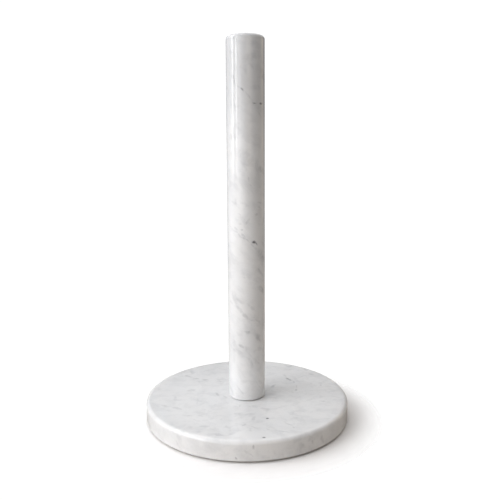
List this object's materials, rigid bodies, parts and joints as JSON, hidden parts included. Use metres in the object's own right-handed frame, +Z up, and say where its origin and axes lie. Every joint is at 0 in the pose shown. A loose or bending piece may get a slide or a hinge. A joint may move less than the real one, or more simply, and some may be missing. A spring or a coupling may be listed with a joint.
{
  "type": "paper towel holder",
  "caption": "Free-standing paper towel holder: a round marble post clamped upright on a round marble slab base.",
  "frame": {"origin": "centre of the base, on the surface the holder stands on", "axes": "+Z up along the post; the holder is round, so +X and +Y are free: the four feet lie at 45 degrees to them"},
  "size_m": [0.178, 0.178, 0.325],
  "materials": {
    "marble": "polished, white with soft grey veins",
    "gasket_rubber": "matt black",
    "zinc_steel": "bright zinc plated",
    "resin": "cured epoxy, honey coloured",
    "foot_rubber": "translucent off-white"
  },
  "bodies": {
    "root": {"base": "marble", "post": "marble", "post_gasket": "gasket_rubber", "stud": "zinc_steel", "stud_resin": "resin", "cushion_washer": "gasket_rubber", "flat_washer": "zinc_steel", "spring_washer": "zinc_steel", "nut": "zinc_steel", "foot_1": "foot_rubber", "foot_2": "foot_rubber", "foot_3": "foot_rubber", "foot_4": "foot_rubber"}
  },
  "joints": []
}
